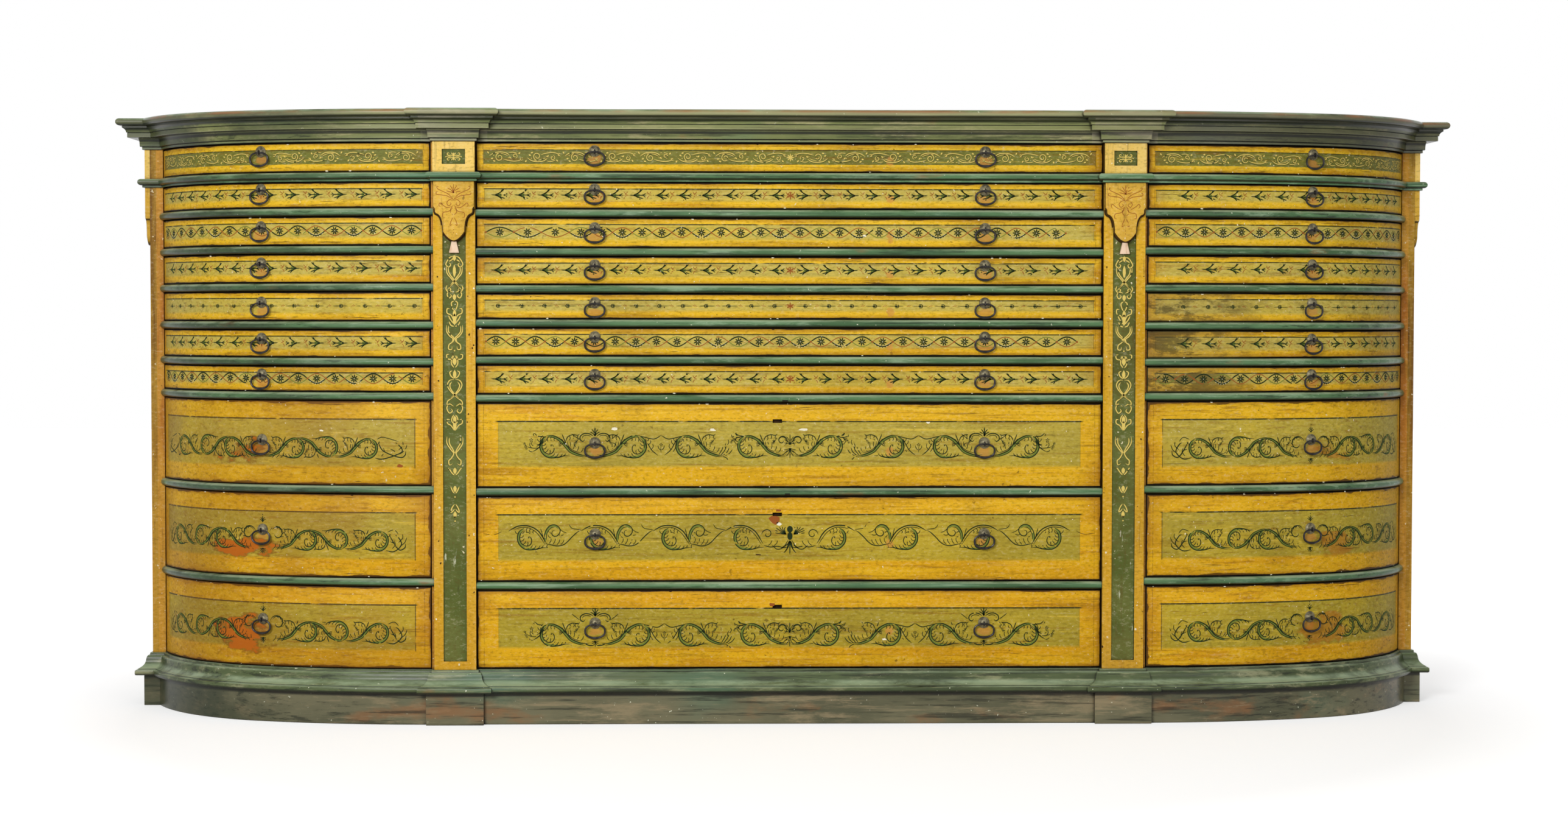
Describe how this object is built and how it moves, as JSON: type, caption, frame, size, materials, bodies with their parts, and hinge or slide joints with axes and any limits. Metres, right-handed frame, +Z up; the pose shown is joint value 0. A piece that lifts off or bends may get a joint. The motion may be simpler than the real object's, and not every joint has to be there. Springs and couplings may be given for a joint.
{
  "type": "filing chest",
  "caption": "Long painted chest of shallow and deep drawers: a flat centre between bowed wings, with pilasters, half-round rails, a moulded cornice and ring pulls",
  "frame": {"origin": "on the floor, under the middle of the overall box", "axes": "+X along the chest's length to its right-hand end as seen from the front, -Y out of the front, +Z up"},
  "size_m": [2.6324, 0.57, 1.1583],
  "materials": {
    "yellow_paint": "old yellow ochre paint with olive panels and painted ornament, worn and dirty",
    "green_paint": "old dark green paint, worn at the edges",
    "weathered_green_paint": "thin green-brown paint over streaked bare wood",
    "bare_wood": "aged softwood, unpainted",
    "dark_iron": "dark wrought iron"
  },
  "bodies": {
    "carcass": {"plinth": "weathered_green_paint", "base_moulding": "green_paint", "bottom_board": "bare_wood", "cheeks": "bare_wood", "back_panel": "bare_wood", "cornice": "green_paint", "top_board": "green_paint", "waist_moulding": "green_paint", "divider_rails": "green_paint", "drawer_runners": "bare_wood", "front_pilasters": "yellow_paint", "end_pilasters": "yellow_paint", "frieze_blocks": "yellow_paint", "aprons": "yellow_paint"},
    "drawer_centre_row1": {"drawer_centre_row1": "yellow_paint"},
    "drawer_left_row1": {"drawer_left_row1": "yellow_paint"},
    "drawer_right_row1": {"drawer_right_row1": "yellow_paint"},
    "ring_pair_row1": {"ring_pair_row1": "dark_iron"},
    "drawer_centre_row2": {"drawer_centre_row2": "yellow_paint"},
    "drawer_left_row2": {"drawer_left_row2": "yellow_paint"},
    "drawer_right_row2": {"drawer_right_row2": "yellow_paint"},
    "ring_pair_row2": {"ring_pair_row2": "dark_iron"},
    "drawer_centre_row3": {"drawer_centre_row3": "yellow_paint"},
    "drawer_left_row3": {"drawer_left_row3": "yellow_paint"},
    "drawer_right_row3": {"drawer_right_row3": "yellow_paint"},
    "ring_pair_row3": {"ring_pair_row3": "dark_iron"},
    "drawer_centre_row4": {"drawer_centre_row4": "yellow_paint"},
    "drawer_left_row4": {"drawer_left_row4": "yellow_paint"},
    "drawer_right_row4": {"drawer_right_row4": "yellow_paint"},
    "ring_pair_row4": {"ring_pair_row4": "dark_iron"},
    "drawer_centre_row5": {"drawer_centre_row5": "yellow_paint"},
    "drawer_left_row5": {"drawer_left_row5": "yellow_paint"},
    "drawer_right_row5": {"drawer_right_row5": "yellow_paint"},
    "ring_pair_row5": {"ring_pair_row5": "dark_iron"},
    "drawer_centre_row6": {"drawer_centre_row6": "yellow_paint"},
    "drawer_left_row6": {"drawer_left_row6": "yellow_paint"},
    "drawer_right_row6": {"drawer_right_row6": "yellow_paint"},
    "ring_pair_row6": {"ring_pair_row6": "dark_iron"},
    "drawer_centre_row7": {"drawer_centre_row7": "yellow_paint"},
    "drawer_left_row7": {"drawer_left_row7": "yellow_paint"},
    "drawer_right_row7": {"drawer_right_row7": "yellow_paint"},
    "ring_pair_row7": {"ring_pair_row7": "dark_iron"},
    "drawer_centre_row8": {"drawer_centre_row8": "yellow_paint"},
    "drawer_left_row8": {"drawer_left_row8": "yellow_paint"},
    "drawer_right_row8": {"drawer_right_row8": "yellow_paint"},
    "ring_pair_row8": {"ring_pair_row8": "dark_iron"},
    "ring_left_row8": {"ring_left_row8": "dark_iron"},
    "ring_right_row8": {"ring_right_row8": "dark_iron"},
    "drawer_centre_row9": {"drawer_centre_row9": "yellow_paint"},
    "drawer_left_row9": {"drawer_left_row9": "yellow_paint"},
    "drawer_right_row9": {"drawer_right_row9": "yellow_paint"},
    "ring_pair_row9": {"ring_pair_row9": "dark_iron"},
    "ring_left_row9": {"ring_left_row9": "dark_iron"},
    "ring_right_row9": {"ring_right_row9": "dark_iron"},
    "drawer_centre_row10": {"drawer_centre_row10": "yellow_paint"},
    "drawer_left_row10": {"drawer_left_row10": "yellow_paint"},
    "drawer_right_row10": {"drawer_right_row10": "yellow_paint"},
    "ring_pair_row10": {"ring_pair_row10": "dark_iron"},
    "ring_left_row10": {"ring_left_row10": "dark_iron"},
    "ring_right_row10": {"ring_right_row10": "dark_iron"}
  },
  "joints": [
    {"name": "drawer_centre_row1_slide", "type": "slide", "parent": "carcass", "child": "drawer_centre_row1", "axis": [0, -1, 0], "range_m": [0, 0.4]},
    {"name": "drawer_left_row1_slide", "type": "slide", "parent": "carcass", "child": "drawer_left_row1", "axis": [0, -1, 0], "range_m": [0, 0.3]},
    {"name": "drawer_right_row1_slide", "type": "slide", "parent": "carcass", "child": "drawer_right_row1", "axis": [0, -1, 0], "range_m": [0, 0.3]},
    {"name": "ring_pair_row1_swing", "type": "hinge", "parent": "drawer_centre_row1", "child": "ring_pair_row1", "pos_m": [0, -0.223, 1.08076], "axis": [-1, 0, 0], "range_deg": [-10, 100]},
    {"name": "drawer_centre_row2_slide", "type": "slide", "parent": "carcass", "child": "drawer_centre_row2", "axis": [0, -1, 0], "range_m": [0, 0.4]},
    {"name": "drawer_left_row2_slide", "type": "slide", "parent": "carcass", "child": "drawer_left_row2", "axis": [0, -1, 0], "range_m": [0, 0.3]},
    {"name": "drawer_right_row2_slide", "type": "slide", "parent": "carcass", "child": "drawer_right_row2", "axis": [0, -1, 0], "range_m": [0, 0.3]},
    {"name": "ring_pair_row2_swing", "type": "hinge", "parent": "drawer_centre_row2", "child": "ring_pair_row2", "pos_m": [0, -0.223, 1.00887], "axis": [-1, 0, 0], "range_deg": [-10, 100]},
    {"name": "drawer_centre_row3_slide", "type": "slide", "parent": "carcass", "child": "drawer_centre_row3", "axis": [0, -1, 0], "range_m": [0, 0.4]},
    {"name": "drawer_left_row3_slide", "type": "slide", "parent": "carcass", "child": "drawer_left_row3", "axis": [0, -1, 0], "range_m": [0, 0.3]},
    {"name": "drawer_right_row3_slide", "type": "slide", "parent": "carcass", "child": "drawer_right_row3", "axis": [0, -1, 0], "range_m": [0, 0.3]},
    {"name": "ring_pair_row3_swing", "type": "hinge", "parent": "drawer_centre_row3", "child": "ring_pair_row3", "pos_m": [0, -0.223, 0.93601], "axis": [-1, 0, 0], "range_deg": [-10, 100]},
    {"name": "drawer_centre_row4_slide", "type": "slide", "parent": "carcass", "child": "drawer_centre_row4", "axis": [0, -1, 0], "range_m": [0, 0.4]},
    {"name": "drawer_left_row4_slide", "type": "slide", "parent": "carcass", "child": "drawer_left_row4", "axis": [0, -1, 0], "range_m": [0, 0.3]},
    {"name": "drawer_right_row4_slide", "type": "slide", "parent": "carcass", "child": "drawer_right_row4", "axis": [0, -1, 0], "range_m": [0, 0.3]},
    {"name": "ring_pair_row4_swing", "type": "hinge", "parent": "drawer_centre_row4", "child": "ring_pair_row4", "pos_m": [0, -0.223, 0.8663], "axis": [-1, 0, 0], "range_deg": [-10, 100]},
    {"name": "drawer_centre_row5_slide", "type": "slide", "parent": "carcass", "child": "drawer_centre_row5", "axis": [0, -1, 0], "range_m": [0, 0.4]},
    {"name": "drawer_left_row5_slide", "type": "slide", "parent": "carcass", "child": "drawer_left_row5", "axis": [0, -1, 0], "range_m": [0, 0.3]},
    {"name": "drawer_right_row5_slide", "type": "slide", "parent": "carcass", "child": "drawer_right_row5", "axis": [0, -1, 0], "range_m": [0, 0.3]},
    {"name": "ring_pair_row5_swing", "type": "hinge", "parent": "drawer_centre_row5", "child": "ring_pair_row5", "pos_m": [0, -0.223, 0.79538], "axis": [-1, 0, 0], "range_deg": [-10, 100]},
    {"name": "drawer_centre_row6_slide", "type": "slide", "parent": "carcass", "child": "drawer_centre_row6", "axis": [0, -1, 0], "range_m": [0, 0.4]},
    {"name": "drawer_left_row6_slide", "type": "slide", "parent": "carcass", "child": "drawer_left_row6", "axis": [0, -1, 0], "range_m": [0, 0.3]},
    {"name": "drawer_right_row6_slide", "type": "slide", "parent": "carcass", "child": "drawer_right_row6", "axis": [0, -1, 0], "range_m": [0, 0.3]},
    {"name": "ring_pair_row6_swing", "type": "hinge", "parent": "drawer_centre_row6", "child": "ring_pair_row6", "pos_m": [0, -0.223, 0.7309], "axis": [-1, 0, 0], "range_deg": [-10, 100]},
    {"name": "drawer_centre_row7_slide", "type": "slide", "parent": "carcass", "child": "drawer_centre_row7", "axis": [0, -1, 0], "range_m": [0, 0.4]},
    {"name": "drawer_left_row7_slide", "type": "slide", "parent": "carcass", "child": "drawer_left_row7", "axis": [0, -1, 0], "range_m": [0, 0.3]},
    {"name": "drawer_right_row7_slide", "type": "slide", "parent": "carcass", "child": "drawer_right_row7", "axis": [0, -1, 0], "range_m": [0, 0.3]},
    {"name": "ring_pair_row7_swing", "type": "hinge", "parent": "drawer_centre_row7", "child": "ring_pair_row7", "pos_m": [0, -0.223, 0.65978], "axis": [-1, 0, 0], "range_deg": [-10, 100]},
    {"name": "drawer_centre_row8_slide", "type": "slide", "parent": "carcass", "child": "drawer_centre_row8", "axis": [0, -1, 0], "range_m": [0, 0.4]},
    {"name": "drawer_left_row8_slide", "type": "slide", "parent": "carcass", "child": "drawer_left_row8", "axis": [0, -1, 0], "range_m": [0, 0.3]},
    {"name": "drawer_right_row8_slide", "type": "slide", "parent": "carcass", "child": "drawer_right_row8", "axis": [0, -1, 0], "range_m": [0, 0.3]},
    {"name": "ring_pair_row8_swing", "type": "hinge", "parent": "drawer_centre_row8", "child": "ring_pair_row8", "pos_m": [0, -0.223, 0.53054], "axis": [-1, 0, 0], "range_deg": [-10, 100]},
    {"name": "ring_left_row8_swing", "type": "hinge", "parent": "drawer_left_row8", "child": "ring_left_row8", "pos_m": [-1.0068, -0.16633, 0.53448], "axis": [-0.9426, 0.3338, 0], "range_deg": [-10, 100]},
    {"name": "ring_right_row8_swing", "type": "hinge", "parent": "drawer_right_row8", "child": "ring_right_row8", "pos_m": [1.0068, -0.16633, 0.53448], "axis": [-0.9426, -0.3338, 0], "range_deg": [-10, 100]},
    {"name": "drawer_centre_row9_slide", "type": "slide", "parent": "carcass", "child": "drawer_centre_row9", "axis": [0, -1, 0], "range_m": [0, 0.4]},
    {"name": "drawer_left_row9_slide", "type": "slide", "parent": "carcass", "child": "drawer_left_row9", "axis": [0, -1, 0], "range_m": [0, 0.3]},
    {"name": "drawer_right_row9_slide", "type": "slide", "parent": "carcass", "child": "drawer_right_row9", "axis": [0, -1, 0], "range_m": [0, 0.3]},
    {"name": "ring_pair_row9_swing", "type": "hinge", "parent": "drawer_centre_row9", "child": "ring_pair_row9", "pos_m": [0, -0.223, 0.35814], "axis": [-1, 0, 0], "range_deg": [-10, 100]},
    {"name": "ring_left_row9_swing", "type": "hinge", "parent": "drawer_left_row9", "child": "ring_left_row9", "pos_m": [-1.0068, -0.16633, 0.36344], "axis": [-0.9426, 0.3338, 0], "range_deg": [-10, 100]},
    {"name": "ring_right_row9_swing", "type": "hinge", "parent": "drawer_right_row9", "child": "ring_right_row9", "pos_m": [1.0068, -0.16633, 0.36344], "axis": [-0.9426, -0.3338, 0], "range_deg": [-10, 100]},
    {"name": "drawer_centre_row10_slide", "type": "slide", "parent": "carcass", "child": "drawer_centre_row10", "axis": [0, -1, 0], "range_m": [0, 0.4]},
    {"name": "drawer_left_row10_slide", "type": "slide", "parent": "carcass", "child": "drawer_left_row10", "axis": [0, -1, 0], "range_m": [0, 0.3]},
    {"name": "drawer_right_row10_slide", "type": "slide", "parent": "carcass", "child": "drawer_right_row10", "axis": [0, -1, 0], "range_m": [0, 0.3]},
    {"name": "ring_pair_row10_swing", "type": "hinge", "parent": "drawer_centre_row10", "child": "ring_pair_row10", "pos_m": [0, -0.223, 0.18893], "axis": [-1, 0, 0], "range_deg": [-10, 100]},
    {"name": "ring_left_row10_swing", "type": "hinge", "parent": "drawer_left_row10", "child": "ring_left_row10", "pos_m": [-1.0068, -0.16633, 0.1929], "axis": [-0.9426, 0.3338, 0], "range_deg": [-10, 100]},
    {"name": "ring_right_row10_swing", "type": "hinge", "parent": "drawer_right_row10", "child": "ring_right_row10", "pos_m": [1.0068, -0.16633, 0.1929], "axis": [-0.9426, -0.3338, 0], "range_deg": [-10, 100]}
  ]
}
